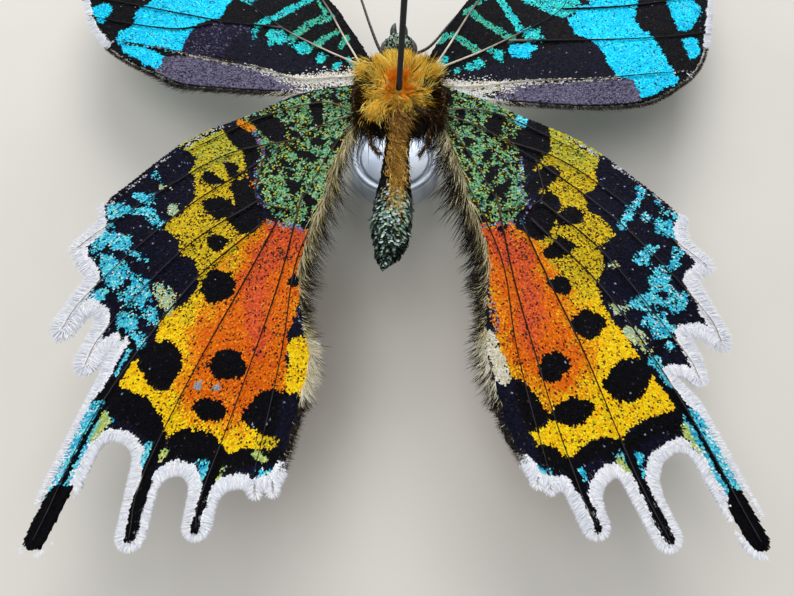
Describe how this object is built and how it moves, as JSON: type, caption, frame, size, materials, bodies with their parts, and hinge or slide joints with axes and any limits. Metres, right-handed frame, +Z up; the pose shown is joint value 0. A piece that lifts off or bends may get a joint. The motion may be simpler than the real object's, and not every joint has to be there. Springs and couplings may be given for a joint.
{
  "type": "mounted madagascan sunset moth specimen",
  "caption": "Dried day-flying moth with tailed hindwings, spread belly up on its own pin above a small round metal base disc",
  "frame": {"origin": "centre of the round base disc's underside, on the surface the specimen stands on", "axes": "+Z up along the pin's foot, +Y towards the moth's head, +X to the viewer's right; the moth lies belly up with its tails towards -Y"},
  "size_m": [0.0775, 0.0737, 0.0413],
  "materials": {
    "plated_disc": "polished",
    "pin_enamel": "satin",
    "thorax_fur": "matte",
    "abdomen_scales": "matte",
    "head_scales": "matte",
    "eye": "gloss",
    "palp_scales": "matte",
    "antenna_brown": "satin",
    "leg_brown": "matte",
    "fore_wing_scales": "satin",
    "hind_wing_scales": "satin"
  },
  "bodies": {
    "root": {"abdomen": "abdomen_scales", "antenna_left": "antenna_brown", "antenna_right": "antenna_brown", "eye_left": "eye", "eye_right": "eye", "head": "head_scales", "leg_fore_left": "leg_brown", "leg_fore_right": "leg_brown", "leg_hind_left": "leg_brown", "leg_hind_right": "leg_brown", "leg_mid_left": "leg_brown", "leg_mid_right": "leg_brown", "palp_left": "palp_scales", "palp_right": "palp_scales", "stand_disc": "plated_disc", "stand_pin": "pin_enamel", "thorax": "thorax_fur", "wing_fore_left": "fore_wing_scales", "wing_fore_right": "fore_wing_scales", "wing_hind_left": "hind_wing_scales", "wing_hind_right": "hind_wing_scales"}
  },
  "joints": []
}
